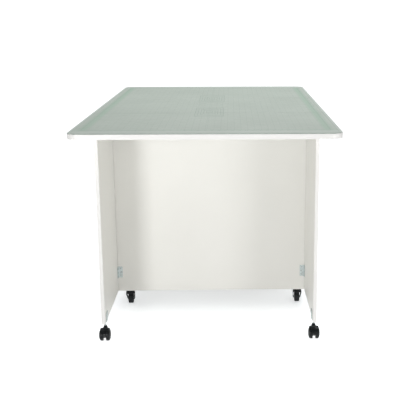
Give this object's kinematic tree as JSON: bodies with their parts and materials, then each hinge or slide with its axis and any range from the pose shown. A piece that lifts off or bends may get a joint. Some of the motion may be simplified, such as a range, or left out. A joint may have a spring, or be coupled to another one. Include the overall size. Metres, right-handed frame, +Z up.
{
  "type": "folding sewing table",
  "caption": "Folding sewing and cutting table: box carcass with drop leaves on swing-out gate wings, gridded mat on top, twin-wheel and fork casters.",
  "frame": {"origin": "on the floor, below the centre of the table top", "axes": "+Z up, X along the table's width, +Y along its length from the front leaf to the rear leaf"},
  "size_m": [1, 1.82, 0.889],
  "materials": {
    "white_melamine": "smooth satin white melamine on particle board, with matching edge banding",
    "cutting_mat": "grey-green self-healing cutting mat with a fine grid",
    "zinc_steel": "zinc-plated pressed steel",
    "black_plastic": "black nylon, slightly glossy",
    "black_steel": "black powder-coated pressed steel",
    "grey_tread": "dark grey wheel tread"
  },
  "bodies": {
    "carcass": {"front_panel": "white_melamine", "rear_panel": "white_melamine", "left_end_panel": "white_melamine", "right_end_panel": "white_melamine", "bottom_panel": "white_melamine", "centre_top": "white_melamine", "centre_mat": "cutting_mat", "front_leaf_hinge_fixed": "zinc_steel", "rear_leaf_hinge_fixed": "zinc_steel", "front_left_lower_hinge_fixed": "zinc_steel", "front_left_upper_hinge_fixed": "zinc_steel", "front_right_lower_hinge_fixed": "zinc_steel", "front_right_upper_hinge_fixed": "zinc_steel", "rear_left_lower_hinge_fixed": "zinc_steel", "rear_left_upper_hinge_fixed": "zinc_steel", "rear_right_lower_hinge_fixed": "zinc_steel", "rear_right_upper_hinge_fixed": "zinc_steel", "front_left_caster_plate": "zinc_steel", "front_right_caster_plate": "zinc_steel", "rear_left_caster_plate": "zinc_steel", "rear_right_caster_plate": "zinc_steel"},
    "front_leaf": {"front_leaf": "white_melamine", "front_mat": "cutting_mat", "front_leaf_hinge_moving": "zinc_steel"},
    "rear_leaf": {"rear_leaf": "white_melamine", "rear_mat": "cutting_mat", "rear_leaf_hinge_moving": "zinc_steel"},
    "front_left_wing": {"front_left_wing": "white_melamine", "front_left_lower_hinge_moving": "zinc_steel", "front_left_upper_hinge_moving": "zinc_steel", "front_left_wing_caster_bracket": "zinc_steel"},
    "front_left_wing_caster": {"front_left_wing_caster_hood": "black_plastic"},
    "front_left_wing_wheels": {"front_left_wing_caster_wheels": "black_plastic"},
    "front_left_caster": {"front_left_caster_fork": "black_steel"},
    "front_left_caster_wheel": {"front_left_caster_wheel": "grey_tread"},
    "front_right_wing": {"front_right_wing": "white_melamine", "front_right_lower_hinge_moving": "zinc_steel", "front_right_upper_hinge_moving": "zinc_steel", "front_right_wing_caster_bracket": "zinc_steel"},
    "front_right_wing_caster": {"front_right_wing_caster_hood": "black_plastic"},
    "front_right_wing_wheels": {"front_right_wing_caster_wheels": "black_plastic"},
    "front_right_caster": {"front_right_caster_fork": "black_steel"},
    "front_right_caster_wheel": {"front_right_caster_wheel": "grey_tread"},
    "rear_left_wing": {"rear_left_wing": "white_melamine", "rear_left_lower_hinge_moving": "zinc_steel", "rear_left_upper_hinge_moving": "zinc_steel", "rear_left_wing_caster_bracket": "zinc_steel"},
    "rear_left_wing_caster": {"rear_left_wing_caster_hood": "black_plastic"},
    "rear_left_wing_wheels": {"rear_left_wing_caster_wheels": "black_plastic"},
    "rear_left_caster": {"rear_left_caster_fork": "black_steel"},
    "rear_left_caster_wheel": {"rear_left_caster_wheel": "grey_tread"},
    "rear_right_wing": {"rear_right_wing": "white_melamine", "rear_right_lower_hinge_moving": "zinc_steel", "rear_right_upper_hinge_moving": "zinc_steel", "rear_right_wing_caster_bracket": "zinc_steel"},
    "rear_right_wing_caster": {"rear_right_wing_caster_hood": "black_plastic"},
    "rear_right_wing_wheels": {"rear_right_wing_caster_wheels": "black_plastic"},
    "rear_right_caster": {"rear_right_caster_fork": "black_steel"},
    "rear_right_caster_wheel": {"rear_right_caster_wheel": "grey_tread"}
  },
  "joints": [
    {"name": "front_leaf_lift", "type": "hinge", "parent": "carcass", "child": "front_leaf", "pos_m": [0, -0.303, 0.8708], "axis": [-1, 0, 0], "range_deg": [0, 4]},
    {"name": "rear_leaf_lift", "type": "hinge", "parent": "carcass", "child": "rear_leaf", "pos_m": [0, 0.303, 0.8708], "axis": [1, 0, 0], "range_deg": [0, 4]},
    {"name": "front_left_wing_swing", "type": "hinge", "parent": "carcass", "child": "front_left_wing", "pos_m": [-0.4177, -0.2713, 0.484], "axis": [0, 0, 1], "range_deg": [0, 90]},
    {"name": "front_left_wing_caster_swivel", "type": "hinge", "parent": "front_left_wing", "child": "front_left_wing_caster", "pos_m": [-0.4285, -0.637, 0.07], "axis": [0, 0, 1], "continuous": true},
    {"name": "front_left_wing_wheel_spin", "type": "hinge", "parent": "front_left_wing_caster", "child": "front_left_wing_wheels", "pos_m": [-0.4285, -0.657, 0.025], "axis": [1, 0, 0], "continuous": true},
    {"name": "front_left_caster_swivel", "type": "hinge", "parent": "carcass", "child": "front_left_caster", "pos_m": [-0.373, -0.228, 0.065], "axis": [0, 0, 1], "continuous": true},
    {"name": "front_left_wheel_spin", "type": "hinge", "parent": "front_left_caster", "child": "front_left_caster_wheel", "pos_m": [-0.373, -0.208, 0.025], "axis": [1, 0, 0], "continuous": true},
    {"name": "front_right_wing_swing", "type": "hinge", "parent": "carcass", "child": "front_right_wing", "pos_m": [0.4177, -0.2713, 0.484], "axis": [0, 0, -1], "range_deg": [0, 90]},
    {"name": "front_right_wing_caster_swivel", "type": "hinge", "parent": "front_right_wing", "child": "front_right_wing_caster", "pos_m": [0.4285, -0.637, 0.07], "axis": [0, 0, 1], "continuous": true},
    {"name": "front_right_wing_wheel_spin", "type": "hinge", "parent": "front_right_wing_caster", "child": "front_right_wing_wheels", "pos_m": [0.4285, -0.657, 0.025], "axis": [1, 0, 0], "continuous": true},
    {"name": "front_right_caster_swivel", "type": "hinge", "parent": "carcass", "child": "front_right_caster", "pos_m": [0.392, -0.228, 0.065], "axis": [0, 0, 1], "continuous": true},
    {"name": "front_right_wheel_spin", "type": "hinge", "parent": "front_right_caster", "child": "front_right_caster_wheel", "pos_m": [0.392, -0.208, 0.025], "axis": [1, 0, 0], "continuous": true},
    {"name": "rear_left_wing_swing", "type": "hinge", "parent": "carcass", "child": "rear_left_wing", "pos_m": [-0.4177, 0.2713, 0.484], "axis": [0, 0, -1], "range_deg": [0, 90]},
    {"name": "rear_left_wing_caster_swivel", "type": "hinge", "parent": "rear_left_wing", "child": "rear_left_wing_caster", "pos_m": [-0.4285, 0.637, 0.07], "axis": [0, 0, 1], "continuous": true},
    {"name": "rear_left_wing_wheel_spin", "type": "hinge", "parent": "rear_left_wing_caster", "child": "rear_left_wing_wheels", "pos_m": [-0.4285, 0.657, 0.025], "axis": [1, 0, 0], "continuous": true},
    {"name": "rear_left_caster_swivel", "type": "hinge", "parent": "carcass", "child": "rear_left_caster", "pos_m": [-0.373, 0.228, 0.065], "axis": [0, 0, 1], "continuous": true},
    {"name": "rear_left_wheel_spin", "type": "hinge", "parent": "rear_left_caster", "child": "rear_left_caster_wheel", "pos_m": [-0.373, 0.208, 0.025], "axis": [1, 0, 0], "continuous": true},
    {"name": "rear_right_wing_swing", "type": "hinge", "parent": "carcass", "child": "rear_right_wing", "pos_m": [0.4177, 0.2713, 0.484], "axis": [0, 0, 1], "range_deg": [0, 90]},
    {"name": "rear_right_wing_caster_swivel", "type": "hinge", "parent": "rear_right_wing", "child": "rear_right_wing_caster", "pos_m": [0.4285, 0.637, 0.07], "axis": [0, 0, 1], "continuous": true},
    {"name": "rear_right_wing_wheel_spin", "type": "hinge", "parent": "rear_right_wing_caster", "child": "rear_right_wing_wheels", "pos_m": [0.4285, 0.657, 0.025], "axis": [1, 0, 0], "continuous": true},
    {"name": "rear_right_caster_swivel", "type": "hinge", "parent": "carcass", "child": "rear_right_caster", "pos_m": [0.392, 0.228, 0.065], "axis": [0, 0, 1], "continuous": true},
    {"name": "rear_right_wheel_spin", "type": "hinge", "parent": "rear_right_caster", "child": "rear_right_caster_wheel", "pos_m": [0.392, 0.208, 0.025], "axis": [1, 0, 0], "continuous": true}
  ]
}
